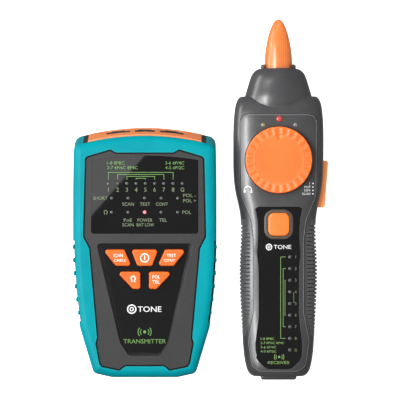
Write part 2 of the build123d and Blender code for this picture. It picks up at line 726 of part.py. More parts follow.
def rounded_slot(reach, y):
    """One speaker grille slot across the tub's back."""
    slot = Pos(0, y, 1.5) * Box(2 * reach, 1.4, 6)
    return fillet(slot.edges().filter_by(Axis.Z), 0.65)


def rx_battery_ranges():
    """The x, y and z ranges that the battery and its leads need."""
    width, length, height = CELL
    half = width / 2 + 0.6
    return (-half, half), (RX_CELL_Y - 1, RX_CELL_Y + length + 6), (0, RX_CELL_Z + height + 0.3)


def rx_battery_space():
    """The room for the battery, with the slot that its leads leave by."""
    x, y, z = rx_battery_ranges()
    return block(x, y, z) + block((-5.5, 5.5), (y[1] - 1, y[1] + 2), (8, z[1]))


def rx_battery_bay():
    """Walls and roof round the battery, tied to the tub's sides by three ribs a side."""
    x, y, z = rx_battery_ranges()
    wall = 0.9
    bay = block((x[0] - wall, x[1] + wall), (y[0] - wall, y[1] + wall), (1.0, z[1] + 0.35))
    for rib_y in (30, 50, 70):
        bay += block((-16.6, 16.6), (rib_y - 0.5, rib_y + 0.5), (5.0, z[1]))
    return bay


def rx_battery_door():
    """Door that slides off the lower end, with tongues that run in the tub and two thumb grooves."""
    skin = BODY & block((-RX_DOOR_HALF_W, RX_DOOR_HALF_W), (-5, RX_DOOR_END_Y), (0.2, 1.75))
    tongues = block((-RX_DOOR_HALF_W - 1.1, RX_DOOR_HALF_W + 1.1), (10, RX_DOOR_END_Y - 2.4), (1.06, 1.75))
    door = skin + (tongues & BODY)
    for k in range(4):
        door -= Pos(0, 12 + 3 * k, 0.2) * Rot(0, 90, 0) * Cylinder(0.5, 14)
    return door


def rx_port_block(grow):
    """The block at the lower end round the remote socket."""
    shape = block((-9.6 - grow, 9.6 + grow), (-grow, 6.0), (5.2 - grow, 24.4 + grow))
    front = [e for e in shape.edges() if all(abs(v.Y + grow) < 1e-3 for v in e.vertices())]
    sides = shape.edges().filter_by(Axis.Y)
    return fillet(sides, 1.6) if grow else fillet(fillet(front, 1.5).edges().filter_by(Axis.Y), 1.4)


def rx_port_frame():
    frame = rx_port_block(0)
    return frame - port_prism(PORT_W, (-1, 8), RX_PORT_Z, 0)


# ---------------------------------------------------------------- receiver nose and tip
def rx_nose():
    """The cone that carries the tip, hollow for the antenna, with a finger flute on each side."""
    nose = rx_hull(NOSE_STATIONS, 0) & block(*ABOVE_TABLE)
    nose -= rx_hull(RX_BODY, 0)
    nose -= Pos(0, 155, TIP_Z) * Rot(90, 0, 0) * Cylinder(4.4, 40)
    nose -= Pos(0, 166.2, TIP_Z) * Rot(90, 0, 0) * Cylinder(TIP_BASE_R + 0.05, 3.6)
    nose -= Pos(0, 167.2, TIP_Z) * Rot(90, 0, 0) * Cylinder(9.45, 3.0)
    for side in (-1, 1):
        flute = Pos(side * 13.9, 153.6, 28.4) * Rot(0, 0, side * 8) * Rot(0, side * 38, 0) * Rot(90, 0, 0)
        nose -= flute * scale(Sphere(1), by=(1.2, 1.5, 5.0))
    return max(nose.solids(), key=lambda solid: solid.volume)


def rx_tip_profile():
    """Half of the ogive tip's section, along Y: a base, a long curve and a round nose."""
    end = RX_LENGTH
    radius = TIP_BASE_R
    line = Polyline((0, TIP_BASE_Y), (radius, TIP_BASE_Y), (radius, 169.0))
    side = Spline((radius, 169.0), (6.5, 178.6), (4.75, 186.0), tangents=[(0, 1), (-0.34, 1)])
    cap = Spline((4.75, 186.0), (2.7, 190.9), (0, end), tangents=[(-0.34, 1), (-1, 0)])
    return make_face(line + side + cap + Line((0, end), (0, TIP_BASE_Y)))


def rx_tip():
    """Hollow translucent tip: an ogive with shallow flats moulded round its lower half."""
    tip = revolve(rx_tip_profile(), Axis.Y)
    tip -= revolve(rx_tip_core(), Axis.Y)
    return Pos(0, 0, TIP_Z) * tip


def rx_tip_core():
    """The tip's hollow: a stepped bore for the antenna."""
    return make_face(Polyline((0, 164.0), (4.4, 164.0), (4.4, 172.0), (2.2, 180.0), (2.0, 185.0), (0, 185.8),
                              close=True))


def rx_collar():
    """The sealing ring round the tip's base, notched in front so that the tip shows down to its foot."""
    ring = Pos(0, 167.2, TIP_Z) * Rot(90, 0, 0) * (Cylinder(9.4, 2.9) - Cylinder(TIP_BASE_R + 0.05, 4))
    outer = [e for e in ring.edges() if e.bounding_box().size.X > 18]
    ring = fillet(outer, 1.1)
    return ring - block((-7.7, 7.7), (166.4, 170), (TIP_Z, 40))


def rx_antenna():
    """Ferrite rod with its ferrule, inside the nose and the tip."""
    rod = Pos(0, 170.0, TIP_Z) * Rot(90, 0, 0) * Cylinder(1.9, 26)
    return rod + Pos(0, 160.0, TIP_Z) * Rot(90, 0, 0) * Cylinder(4.0, 12)


# ---------------------------------------------------------------- receiver controls
def rx_dial():
    """Round dial: a scalloped rim, a sunken disc with a finger dimple, and a socket for the spindle."""
    low, high = DIAL_Z
    dial = pin(0, 0, DIAL_R, low, high)
    dial = fillet(edges_at(dial, high), 1.0)
    dial -= pin(0, 0, 12.9, high - 0.6, high + 1) - pin(0, 0, 12.5, high - 0.6, high + 1)
    dial -= pin(0, 0, 12.6, high - 0.25, high + 1)
    dial -= Pos(0, 12.4, high + 1.9) * Sphere(2.8)
    for k in range(24):
        angle = 15 * k
        scoop = Pos(15.3, 0, high + 2.62) * Rot(0, 90, 0) * Cylinder(3.0, 3.6)
        dial -= Rot(0, 0, angle) * scoop
    dial -= pin(0, 0, 16.4, low - 1, low + 2.2) - pin(0, 0, 5.0, low - 1, low + 3)
    dial -= pin(0, 0, SPINDLE_R, low - 1, high - 1.4)
    return Pos(0, DIAL_Y, 0) * dial


def rx_dial_spindle():
    shaft = pin(0, DIAL_Y, SPINDLE_R, 20.0, DIAL_Z[1] - 1.5)
    return shaft - block((-4, 4), (DIAL_Y + 1.6, DIAL_Y + 4), (31.0, 40))


def rx_potentiometer():
    """The dial's control under the board, with a nut-sized collar through it."""
    board_z = RX_BOARD_Z[0] - 0.05
    body = pin(0, DIAL_Y, 8.2, 12.4, board_z)
    collar = pin(0, DIAL_Y, 4.2, board_z, 24.6)
    return body + collar - pin(0, DIAL_Y, SPINDLE_R + 0.05, 19.5, 40)


def rx_button():
    cap = rx_round_rect(BUTTON, 0, 27.0, 32.0)
    cap = fillet(edges_at(cap, 32.0), 1.2)
    cap += rx_round_rect(BUTTON, 0.9, 26.5, 27.15)
    return cap + pin(0, BUTTON_Y, STEM_R, RX_BOARD_Z[1] + WELL_FLOOR + 0.3 + BUTTON_TRAVEL, 27)


def rx_button_bezel():
    ring = rx_round_rect(BEZEL, 0, 28.6, 31.3)
    ring = fillet(edges_at(ring, 31.3), 0.8)
    return ring - rx_round_rect(BUTTON, 0.3, 20, 40)


def rx_slider():
    """Orange side switch: a long thumb bar with cross ridges, and the lever behind it."""
    cap = block((0, 4.0), (-SLIDER_LENGTH / 2, SLIDER_LENGTH / 2), (-4.8, 4.8))
    outer = [e for e in cap.edges() if all(abs(v.X - 4.0) < 1e-3 for v in e.vertices())]
    cap = fillet(outer, 1.3)
    for k in range(-3, 4):
        cap -= Pos(4.1, 2.6 * k, 0) * Cylinder(0.55, 7)
    cap += block((-4.8, 0.5), (-2.6, 2.6), (-1.3, 1.3))
    return slider_frame() * cap


def rx_slide_switch():
    """The switch body that the lever enters."""
    body = block((-7.4, -3.0), (-11.0, 6.0), (-3.2, RX_BOARD_Z[0] - SLIDER_Z - 0.05))
    body -= block((-5.2, 0), (-SLIDER_TRAVEL - 3.0, 3.0), (-1.65, 1.65))
    return slider_frame() * body


def rx_earphone_jack():
    """Earphone socket: a body on the board and a sleeve through the left side."""
    body_x = (EAR_FACE_X + 3.4, EAR_FACE_X + EAR_BORE_DEEP + 1.5)
    body = block(body_x, (EAR_Y - 4, EAR_Y + 4), (EAR_Z - 4, RX_BOARD_Z[0] - 0.05))
    sleeve = Pos(EAR_FACE_X + 1.8, EAR_Y, EAR_Z) * Rot(0, 90, 0) * Cylinder(EAR_SLEEVE_R, 3.6)
    bore_middle = EAR_FACE_X + EAR_BORE_DEEP / 2
    bore = Pos(bore_middle, EAR_Y, EAR_Z) * Rot(0, 90, 0) * Cylinder(EAR_BORE_R, EAR_BORE_DEEP)
    return body + sleeve - bore


def rx_speaker():
    """Small speaker over the grille."""
    speaker = pin(0, 118.0, 14.0, 2.4, 5.4) + pin(0, 118.0, 8.0, 5.4, 8.4)
    return speaker - pin(0, 118.0, 12.0, 2.0, 3.2)


def rx_circuit_board():
    board = slab(closed(both_halves(RX_BOARD)), *RX_BOARD_Z)
    board -= pin(0, DIAL_Y, 4.4, 20, 24)
    for x, y in screw_points(RX_SCREWS):
        board -= pin(x, y, SCREW_SHANK_R + 0.2, 20, 24)
    return board


def rx_case_screws():
    screw = pan_screw(SCREW_SHANK_R, SCREW_HEAD_R, 22.5, 0.8)
    return Part() + [Pos(x, y, 1.2) * screw for x, y in screw_points(RX_SCREWS)]


# ---------------------------------------------------------------- shared receiver solids
BODY = rx_body_solid(0)
HOLLOW = rx_hull(RX_BODY, RX_WALL)


# ---------------------------------------------------------------- every node, in its unit's frame
def transmitter_nodes():
    nodes = {
        "tx_boot": tx_boot(),
        "tx_front_cover": tx_front_cover(),
        "tx_rear_cover": tx_rear_cover(),
        "tx_battery_door": tx_battery_door(),
        "tx_door_screw": tx_door_screw(),
        "tx_case_screws": tx_case_screws(),
        "tx_port_panel": tx_port_panel(),
        "tx_circuit_board": tx_circuit_board(),
        "tx_port_bezel": tx_port_bezel(),
        "tx_battery": battery(TX_CELL_Y, TX_CELL_Z),
        "tx_battery_snap": battery_snap(TX_CELL_Y, TX_CELL_Z),
    }
    window = slab(display_face(0.1), *DISPLAY_Z)
    for x, y in led_points():
        window -= pin(x, y, LED_TIP_R + 0.05, 25, 40)
    nodes["tx_display_window"] = window
    sheet = slab(offset(closed(both_halves(KEY_FLOOR)), -0.1), KEY_FLOOR_Z, KEY_FLOOR_Z + KEY_SHEET)
    board_parts = tx_chips()
    for name, corners in key_outlines().items():
        sheet -= slab(key_face(corners, KEY_GAP), 25, 40)
        nodes[name] = key_cap(corners)
        board_parts += tact_switch(*key_centre(corners), TX_BOARD_Z[1])
    nodes["tx_keypad_sheet"] = sheet
    nodes["tx_board_parts"] = board_parts
    small_lamp = lamp(LED_TIP_R, 1.5, TX_BOARD_Z[1], LED_TIP_Z)
    unlit = [point for point in led_points() if point != POWER_LED]
    nodes["tx_status_leds"] = Part() + [Pos(x, y, 0) * small_lamp for x, y in unlit]
    nodes["tx_power_led"] = Pos(*POWER_LED, 0) * small_lamp
    for name, x, width, port, count, pitch in (
        ("left", -TX_PORT_PITCH, JACK_W, PORT_W, 8, 1.27),
        ("middle", 0, PHONE_JACK_W, PHONE_PORT_W, 6, 1.27),
        ("right", TX_PORT_PITCH, JACK_W, PORT_W, 8, 1.27),
    ):
        at = Pos(x, TX_JACK_FACE_Y, TX_PORT_Z)
        nodes[f"tx_{name}_jack"] = at * modular_jack(width, port) + tx_port_nose(x, port)
        nodes[f"tx_{name}_contacts"] = at * jack_contacts(count, pitch)
    nodes["tx_battery_leads"] = battery_leads(TX_CELL_Y, TX_CELL_Z, TX_BOARD_Z[0])
    return nodes


def receiver_nodes():
    nodes = {
        "rx_front_cover": rx_front_cover(),
        "rx_rear_cover": rx_rear_cover(),
        "rx_left_grip": rx_grip(-1),
        "rx_right_grip": rx_grip(1),
        "rx_label_panel": rx_label_panel(),
        "rx_port_frame": rx_port_frame(),
        "rx_nose": rx_nose(),
        "rx_tip": rx_tip(),
        "rx_tip_collar": rx_collar(),
        "rx_antenna": rx_antenna(),
        "rx_dial": rx_dial(),
        "rx_dial_spindle": rx_dial_spindle(),
        "rx_potentiometer": rx_potentiometer(),
        "rx_button": rx_button(),
        "rx_button_bezel": rx_button_bezel(),
        "rx_button_switch": tact_switch(0, BUTTON_Y, RX_BOARD_Z[1]),
        "rx_slider": rx_slider(),
        "rx_slide_switch": rx_slide_switch(),
        "rx_earphone_jack": rx_earphone_jack(),
        "rx_speaker": rx_speaker(),
        "rx_circuit_board": rx_circuit_board(),
        "rx_case_screws": rx_case_screws(),
        "rx_battery_door": rx_battery_door(),
        "rx_battery": battery(RX_CELL_Y, RX_CELL_Z),
        "rx_battery_snap": battery_snap(RX_CELL_Y, RX_CELL_Z),
    }
    socket_at = Pos(0, RX_JACK_FACE_Y, RX_PORT_Z) * Rot(0, 0, 180)
    nodes["rx_data_jack"] = socket_at * modular_jack(JACK_W, PORT_W)
    nodes["rx_data_contacts"] = socket_at * jack_contacts(8, 1.27)
    nodes["rx_map_leds"] = Part() + [
        Pos(x, y, 0) * lamp(MAP_LED_R, 1.7, RX_BOARD_Z[1], 29.2 + y / 100) for x, y in map_led_points()]
    nodes["rx_battery_leads"] = battery_leads(RX_CELL_Y, RX_CELL_Z, RX_BOARD_Z[0])
    for name, (x, y, radius) in SIGNAL_LEDS.items():
        nodes[name] = Pos(x, y, 0) * lamp(radius, radius + 0.5, RX_BOARD_Z[1], 31.6)
    return nodes


os.makedirs("parts", exist_ok=True)
for unit, at in ((transmitter_nodes(), TX_AT), (receiver_nodes(), RX_AT)):
    for node, shape in unit.items():
        export_step(Pos(*at) * shape, f"parts/{node}.step")
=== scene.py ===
import json
import math
import bmesh
import bpy
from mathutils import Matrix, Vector
from mathutils.bvhtree import BVHTree


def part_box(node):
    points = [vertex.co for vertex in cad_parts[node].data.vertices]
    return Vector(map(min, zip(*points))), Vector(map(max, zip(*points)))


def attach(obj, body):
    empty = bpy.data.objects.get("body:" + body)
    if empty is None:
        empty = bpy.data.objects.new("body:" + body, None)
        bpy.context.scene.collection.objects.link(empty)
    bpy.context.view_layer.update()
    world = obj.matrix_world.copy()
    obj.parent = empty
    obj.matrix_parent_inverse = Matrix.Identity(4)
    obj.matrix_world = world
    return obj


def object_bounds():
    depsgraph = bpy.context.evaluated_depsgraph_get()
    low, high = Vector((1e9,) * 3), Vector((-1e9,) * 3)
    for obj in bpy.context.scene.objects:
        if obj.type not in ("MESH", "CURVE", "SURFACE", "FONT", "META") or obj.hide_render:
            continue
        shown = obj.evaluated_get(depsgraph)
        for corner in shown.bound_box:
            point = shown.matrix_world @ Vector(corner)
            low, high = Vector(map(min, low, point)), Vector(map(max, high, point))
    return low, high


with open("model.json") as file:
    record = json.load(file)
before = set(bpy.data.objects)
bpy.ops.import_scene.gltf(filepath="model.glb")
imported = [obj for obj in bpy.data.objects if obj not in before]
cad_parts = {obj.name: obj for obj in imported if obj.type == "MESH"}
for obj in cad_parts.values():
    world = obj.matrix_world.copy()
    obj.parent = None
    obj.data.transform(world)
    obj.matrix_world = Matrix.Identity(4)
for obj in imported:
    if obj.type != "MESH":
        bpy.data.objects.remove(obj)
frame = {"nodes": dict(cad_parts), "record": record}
cad_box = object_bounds()

# Tone probe kit, looks only: materials for the CAD nodes, the printing on both faces, light and camera.
# Artwork is measured in millimetres in its unit's own frame, with x = 0 on the centre line and y = 0 at the
# lower end. Other lengths are in metres, except the camera's lens and sensor, which are in millimetres.
MM = 0.001
NODES = frame["nodes"]
BODY_OF = {node: body for body, nodes in frame["record"]["behaviour"]["bodies"].items() for node in nodes}
SLOT_OF = {row["node"]: row["material_slot"] for row in frame["record"]["subparts"]}
# The colour sockets of Blender's Mix node, and the length over which its wave texture repeats at scale 1.
MIX_A, MIX_B, MIX_RESULT = 6, 7, 2
WAVE_PERIOD = 0.314


def unit_origin(node):
    """The (x, y) of a unit's own origin: the middle and the lower end of the node that reaches lowest."""
    low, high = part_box(node)
    return (low.x + high.x) / 2, low.y


TX = unit_origin("tx_boot")
RX = unit_origin("rx_port_frame")


# ---------------------------------------------------------------- materials
class Look:
    """A procedural material built round one Principled shader."""

    def __init__(self, name, **sockets):
        self.material = bpy.data.materials.new(name)
        self.material.use_nodes = True
        self.tree = self.material.node_tree
        self.shader = self.tree.nodes["Principled BSDF"]
        self.place = self.tree.nodes.new("ShaderNodeTexCoord").outputs["Object"]
        for socket, value in sockets.items():
            self.shader.inputs[socket.replace("_", " ")].default_value = value

    def node(self, kind, **settings):
        """A new shader node with its settings."""
        made = self.tree.nodes.new(kind)
        for key, value in settings.items():
            setattr(made, key, value)
        return made

    def link(self, source, target):
        """Joins an output to an input."""
        self.tree.links.new(source, target)

    def noise(self, size, detail=3.0, stretch=(1, 1, 1)):
        """Cloudy noise about size metres across; a stretch below 1 draws it out along that axis."""
        mapping = self.node("ShaderNodeMapping")
        mapping.inputs["Scale"].default_value = stretch
        self.link(self.place, mapping.inputs["Vector"])
        noise = self.node("ShaderNodeTexNoise")
        noise.inputs["Scale"].default_value = 1.0 / size
        noise.inputs["Detail"].default_value = detail
        self.link(mapping.outputs["Vector"], noise.inputs["Vector"])
        return noise.outputs["Fac"]

    def cells(self, size, feature="F1"):
        """Voronoi cells about size metres across."""
        cells = self.node("ShaderNodeTexVoronoi", feature=feature)
        cells.inputs["Scale"].default_value = 1.0 / size
        self.link(self.place, cells.inputs["Vector"])
        return cells.outputs["Distance"]

    def bands(self, size, axis, distortion=0.0):
        """Bands across one axis, size metres apart."""
        wave = self.node("ShaderNodeTexWave", bands_direction=axis)
        wave.inputs["Scale"].default_value = WAVE_PERIOD / size
        wave.inputs["Distortion"].default_value = distortion
        self.link(self.place, wave.inputs["Vector"])
        return wave.outputs["Fac"]

    def span(self, source, start, end, low, high):
        """The source's stretch from start to end, mapped to low to high."""
        span = self.node("ShaderNodeMapRange")
        for socket, value in (("From Min", start), ("From Max", end), ("To Min", low), ("To Max", high)):
            span.inputs[socket].default_value = value
        self.link(source, span.inputs["Value"])
        return span.outputs["Result"]

    def mix(self, factor):
        """A colour mix by factor; its first colour shows where factor is 0."""
        mix = self.node("ShaderNodeMix", data_type="RGBA")
        self.link(factor, mix.inputs["Factor"])
        return mix

    def ramp(self, source, stops):
        """A colour ramp: stops are (position, linear colour)."""
        ramp = self.node("ShaderNodeValToRGB")
        elements = ramp.color_ramp.elements
        while len(elements) < len(stops):
            elements.new(0.5)
        for element, (position, colour) in zip(elements, stops):
            element.position = position
            element.color = (*colour, 1)
        self.link(source, ramp.inputs["Fac"])
        return ramp.outputs["Color"]

    def colour(self, source, stops):
        """A base colour that runs through the stops with the source."""
        self.link(self.ramp(source, stops), self.shader.inputs["Base Color"])
        return self

    def edges(self, source, stops, radius, worn_highlight):
        """As colour, with edges of up to radius metres running to a paler colour: partly wear, partly a
        painted highlight.
        """
        base = self.ramp(source, stops)
        bevel = self.node("ShaderNodeBevel", samples=4)
        bevel.inputs["Radius"].default_value = radius
        geometry = self.node("ShaderNodeNewGeometry")
        dot = self.node("ShaderNodeVectorMath", operation="DOT_PRODUCT")
        self.link(bevel.outputs["Normal"], dot.inputs[0])
        self.link(geometry.outputs["Normal"], dot.inputs[1])
        mix = self.mix(self.span(dot.outputs["Value"], 1.0, 0.9, 0.0, 1.0))
        self.link(base, mix.inputs[MIX_A])
        mix.inputs[MIX_B].default_value = (*worn_highlight, 1)
        self.link(mix.outputs[MIX_RESULT], self.shader.inputs["Base Color"])
        return self

    def paint_hollow_shade(self, reach, shade):
        """Painted shade: darkens the base colour to shade times itself where other surfaces stand within
        reach metres.
        """
        socket = self.shader.inputs["Base Color"]
        base = socket.links[0].from_socket
        open_sky = self.node("ShaderNodeAmbientOcclusion", samples=6)
        open_sky.inputs["Distance"].default_value = reach
        mix = self.mix(self.span(open_sky.outputs["AO"], 0.45, 0.9, shade, 1.0))
        mix.inputs[MIX_A].default_value = (0.0, 0.0, 0.0, 1)
        self.link(base, mix.inputs[MIX_B])
        self.link(mix.outputs[MIX_RESULT], socket)
        return self

    def rough(self, source, low, high):
        """Roughness that wanders from low to high with the source."""
        self.link(self.span(source, 0.0, 1.0, low, high), self.shader.inputs["Roughness"])
        return self

    def bump(self, source, depth, strength):
        """A relief of depth metres."""
        bump = self.node("ShaderNodeBump")
        bump.inputs["Strength"].default_value = strength
        bump.inputs["Distance"].default_value = depth
        self.link(source, bump.inputs["Height"])
        self.link(bump.outputs["Normal"], self.shader.inputs["Normal"])
        return self


def tones(colour, spread):
    """Two stops round one linear colour."""
    return [(0.3, [c * (1 - spread) for c in colour]), (0.7, [c * (1 + spread) for c in colour])]


CLOUD_SIZE = 0.012
CLOUD_SPREAD = 0.08
# How far the paler edges reach (partly wear, partly a painted highlight), and how far the painted hollow
# shade looks for nearby surfaces.
WORN_HIGHLIT_EDGE = 0.0007
PAINTED_SHADE_REACH = 0.008


def plastic(name, colour, roughness, grain, depth, edge=None, shade=None, **sockets):
    """Moulded plastic: soft clouding, fine grain, and where asked for paler edges, partly wear and partly a
    painted highlight, and painted shade in hollows.
    """
    look = Look(name, **sockets)
    cloud = look.noise(CLOUD_SIZE, 4.0)
    if edge:
        look.edges(cloud, tones(colour, CLOUD_SPREAD), WORN_HIGHLIT_EDGE, edge)
    else:
        look.colour(cloud, tones(colour, CLOUD_SPREAD))
    if shade:
        look.paint_hollow_shade(PAINTED_SHADE_REACH, shade)
    look.rough(look.noise(0.004, 3.0), roughness - 0.06, roughness + 0.08)
    look.bump(look.noise(grain, 2.0), depth, 0.35)
    return look.material


def teal_rubber():
    """The boot: matt silicone rubber, paler along its edges, partly where it is rubbed and partly as a
    painted highlight, with painted shade in its hollows.
    """
    look = Look("teal_rubber", Specular_IOR_Level=0.06)
    look.edges(look.noise(0.02, 3.0), tones((0.0008, 0.255, 0.300), 0.08), 0.0012, (0.004, 0.34, 0.39))
    look.paint_hollow_shade(PAINTED_SHADE_REACH, 0.2)
    look.rough(look.noise(0.003), 0.34, 0.48)
    return look.bump(look.noise(0.00035, 2.0), 0.00003, 0.3).material


def gloss_black():
    """Polished acrylic over black, with the faintest waviness."""
    look = Look("gloss_black", Coat_Weight=0.3, Coat_Roughness=0.02)
    look.colour(look.noise(0.01, 2.0), tones((0.0042, 0.0040, 0.0042), 0.12))
    look.rough(look.noise(0.0006, 6.0), 0.02, 0.07)
    return look.bump(look.noise(0.03, 1.0), 0.000004, 0.1).material


def keypad_black():
    """A satin printed sheet with a fine texture."""
    look = Look("keypad_black", Specular_IOR_Level=0.15)
    look.colour(look.noise(0.006, 3.0), tones((0.0040, 0.0040, 0.0043), 0.1))
    look.rough(look.noise(0.0005, 4.0), 0.3, 0.4)
    return look.bump(look.cells(0.0003), 0.00001, 0.3).material


def grip_rubber():
    """Soft-touch rubber, greyer along the ribs: partly wear, partly a painted highlight."""
    look = Look("grip_rubber", Sheen_Weight=0.2, Sheen_Roughness=0.5)
    look.edges(look.noise(0.008, 4.0), tones((0.060, 0.060, 0.062), 0.15), 0.0004, (0.14, 0.14, 0.145))
    look.rough(look.noise(0.002), 0.36, 0.5)
    return look.bump(look.cells(0.0004), 0.00004, 0.45).material


TIP_STREAK = 0.0011


def tip_amber():
    """Milky orange plastic that light enters, with drawn streaks along its length."""
    look = Look(
        "tip_amber", Transmission_Weight=0.22, IOR=1.45, Coat_Weight=0.25, Coat_Roughness=0.2,
        Subsurface_Weight=0.55, Subsurface_Scale=0.004, Sheen_Weight=0.35, Sheen_Roughness=0.3,
    )
    look.shader.inputs["Subsurface Radius"].default_value = (1.0, 0.35, 0.12)
    look.shader.inputs["Sheen Tint"].default_value = (1.0, 0.72, 0.45, 1)
    look.colour(look.bands(TIP_STREAK, "X", 1.5), [(0.2, (0.93, 0.225, 0.045)), (0.9, (0.98, 0.30, 0.085))])
    look.rough(look.noise(0.004), 0.18, 0.3)
    return look.bump(look.bands(TIP_STREAK, "X", 0.8), 0.00006, 0.35).material


def lamp(name, colour, glow):
    """A diffused lens with a slightly uneven body; glow lights it from inside."""
    look = Look(
        name, Transmission_Weight=0.15, Coat_Weight=0.8, Coat_Roughness=0.08, Emission_Strength=glow,
    )
    look.shader.inputs["Emission Color"].default_value = (*colour, 1)
    look.colour(look.noise(0.0009, 2.0), tones(colour, 0.15))
    return look.rough(look.noise(0.0005), 0.25, 0.45).material


TRACK_SPACING = 0.004


def board_green():
    """A lacquered board with tracks showing through."""
    look = Look("board_green", Coat_Weight=0.4, Coat_Roughness=0.2)
    tracks, lacquer = (0.20, 0.16, 0.05), (0.010, 0.085, 0.030)
    look.colour(look.cells(TRACK_SPACING, "DISTANCE_TO_EDGE"), [(0.02, tracks), (0.06, lacquer)])
    look.rough(look.noise(0.002), 0.3, 0.45)
    return look.bump(look.cells(TRACK_SPACING, "DISTANCE_TO_EDGE"), 0.00005, 0.4).material


def metal(name, colour, roughness, axis):
    """Plated or brushed metal with fine drawing lines along one axis."""
    look = Look(name, Metallic=1.0)
    stretch = {"X": (0.04, 1, 1), "Y": (1, 0.04, 1)}[axis]
    streaks = look.noise(0.0003, 4.0, stretch)
    look.colour(streaks, tones(colour, 0.1))
    look.rough(streaks, roughness - 0.08, roughness + 0.1)
    return look.bump(streaks, 0.00001, 0.3).material


def battery_wrap():
    """A 9 V battery's sleeve: black, a copper-coloured band and steel ends."""
    look = Look("battery_wrap", Metallic=0.4, Coat_Weight=0.3, Coat_Roughness=0.15)
    split = look.node("ShaderNodeSeparateXYZ")
    look.link(look.place, split.inputs[0])
    low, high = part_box("tx_battery")
    along = look.span(split.outputs["Y"], low.y, high.y, 0.0, 1.0)
    black, copper, steel = (0.02, 0.02, 0.022), (0.55, 0.25, 0.08), (0.5, 0.5, 0.5)
    stops = [(0.0, steel), (0.04, black), (0.62, black), (0.63, copper), (0.93, copper), (0.94, steel)]
    look.colour(along, stops)
    return look.rough(look.noise(0.002), 0.25, 0.4).material


def speaker_black():
    """A dark paper cone with fine lines."""
    look = Look("speaker_black")
    look.colour(look.bands(0.001, "X"), [(0.2, (0.01, 0.01, 0.01)), (0.8, (0.035, 0.035, 0.035))])
    return look.bump(look.cells(0.0006), 0.00008, 0.6).rough(look.noise(0.002), 0.6, 0.8).material


LOOKS = {
    "teal_rubber": teal_rubber(),
    "gloss_black": gloss_black(),
    "keypad_black": keypad_black(),
    "grip_rubber": grip_rubber(),
    "tip_amber": tip_amber(),
    # Each plastic's last colour is its paler edge colour, partly wear and partly a painted highlight; the
    # housing's 0.6 darkens its hollows as painted shade.
    "face_grey": plastic("face_grey", (0.021, 0.021, 0.021), 0.5, 0.00028, 0.00004, (0.040, 0.039, 0.041),
                         Specular_IOR_Level=0.35),
    "housing_grey": plastic("housing_grey", (0.047, 0.047, 0.049), 0.34, 0.00025, 0.00002,
                            (0.07, 0.07, 0.073), 0.6, Coat_Weight=0.35, Coat_Roughness=0.22),
    "port_orange": plastic("port_orange", (0.93, 0.26, 0.075), 0.45, 0.0003, 0.00003, (0.98, 0.42, 0.17)),
    "key_orange": plastic("key_orange", (0.84, 0.118, 0.006), 0.42, 0.0003, 0.00002, (0.95, 0.24, 0.05),
                          Specular_IOR_Level=0.3),
    "button_orange": plastic("button_orange", (0.84, 0.175, 0.019), 0.42, 0.0003, 0.00002,
                             (0.98, 0.42, 0.16)),
    "dial_orange": plastic("dial_orange", (0.92, 0.142, 0.014), 0.46, 0.00035, 0.00005, (1.0, 0.27, 0.07)),
    # The slider's faint orange glow is painted light: it brightens the switch where the body shades it from
    # the lamps.
    "slider_orange": plastic("slider_orange", (0.95, 0.30, 0.075), 0.42, 0.0003, 0.00003, (1.0, 0.50, 0.22),
                             Emission_Color=(1.0, 0.36, 0.14, 1), Emission_Strength=0.2),
    "bezel_dark": plastic("bezel_dark", (0.060, 0.045, 0.036), 0.4, 0.0003, 0.00002, (0.12, 0.10, 0.09)),
    "jack_black": plastic("jack_black", (0.012, 0.012, 0.012), 0.5, 0.0004, 0.00002, (0.04, 0.04, 0.04)),
    "chip_black": plastic("chip_black", (0.015, 0.015, 0.016), 0.5, 0.0002, 0.00002),
    "snap_black": plastic("snap_black", (0.012, 0.012, 0.012), 0.6, 0.0006, 0.00004),
    "lead_red": plastic("lead_red", (0.45, 0.012, 0.010), 0.4, 0.0006, 0.00002),
    "ferrite": plastic("ferrite", (0.045, 0.043, 0.046), 0.55, 0.0002, 0.00004),
    "speaker_black": speaker_black(),
    "lamp_clear": lamp("lamp_clear", (0.075, 0.076, 0.078), 0.035),
    "lamp_green": lamp("lamp_green", (0.20, 0.21, 0.085), 0.08),
    "lamp_red": lamp("lamp_red", (0.46, 0.045, 0.042), 0.13),
    "lamp_lit": lamp("lamp_lit", (0.85, 0.24, 0.26), 0.55),
    "lamp_white": lamp("lamp_white", (0.17, 0.17, 0.175), 0.06),
    "board_green": board_green(),
    "battery_wrap": battery_wrap(),
    "screw_steel": metal("screw_steel", (0.45, 0.45, 0.44), 0.32, "X"),
    "pot_metal": metal("pot_metal", (0.52, 0.51, 0.48), 0.35, "Y"),
    "contact_gold": metal("contact_gold", (0.83, 0.55, 0.20), 0.25, "Y"),
}


WELD_GAP = 0.000002
CRISP_ANGLE = math.radians(28)
# Nodes that look a little different from the rest of their material slot.
OWN_LOOK = {"tx_power_led": "lamp_lit", "rx_white_led": "lamp_white", "rx_button": "button_orange"}


def dress_nodes():
    """Gives every CAD node its slot's material or its own, and smooth shading that keeps edges crisp."""
    for name, node in NODES.items():
        node.data.materials.clear()
        node.data.materials.append(LOOKS[OWN_LOOK.get(name, SLOT_OF[name])])
        node.data.polygons.foreach_set("use_smooth", [True] * len(node.data.polygons))
        weld = node.modifiers.new("weld", "WELD")
        weld.merge_threshold = WELD_GAP
        split = node.modifiers.new("edges", "EDGE_SPLIT")
        split.split_angle = CRISP_ANGLE


PRINT_LIFT = 0.00004
PRINT_THICK = 0.00003
DROP_FROM = 0.01


def ink(name, colour):
    """Screen-printed ink: slightly uneven cover and a faint orange-peel surface."""
    look = Look(name)
    look.colour(look.noise(0.0008, 3.0), tones(colour, 0.1))
    look.rough(look.noise(0.0004), 0.4, 0.55)
    return look.bump(look.noise(0.0001, 2.0), 0.000004, 0.3).material


